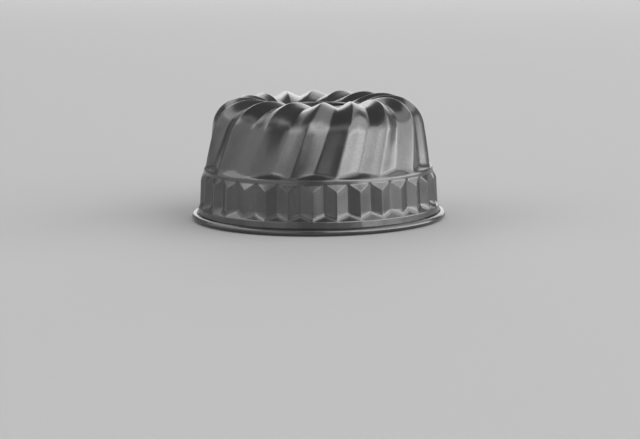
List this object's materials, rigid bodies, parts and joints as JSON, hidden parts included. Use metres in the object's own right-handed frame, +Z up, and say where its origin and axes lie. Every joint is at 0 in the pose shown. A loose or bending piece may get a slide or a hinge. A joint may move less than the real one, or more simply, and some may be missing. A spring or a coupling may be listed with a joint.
{
  "type": "kugelhopf mould",
  "caption": "Round fluted cake mould in dark coated sheet steel, with swirled crown, faceted lower band, rolled rim and open centre tube, standing crown up.",
  "frame": {"origin": "centre of the rim's underside, where the mould stands crown up", "axes": "+Z up along the tube's axis, from the rim to the crown; -Y is the front, where the foot of one flute crest lies"},
  "size_m": [0.22, 0.22, 0.1054],
  "materials": {
    "coated_shell": "satin anthracite non-stick coating with a fine orange-peel texture",
    "coated_tube": "satin anthracite non-stick coating",
    "wire_steel": "bare drawn steel wire"
  },
  "bodies": {
    "root": {"mould_shell": "coated_shell", "chimney_tube": "coated_tube", "rim_wire": "wire_steel"}
  },
  "joints": []
}
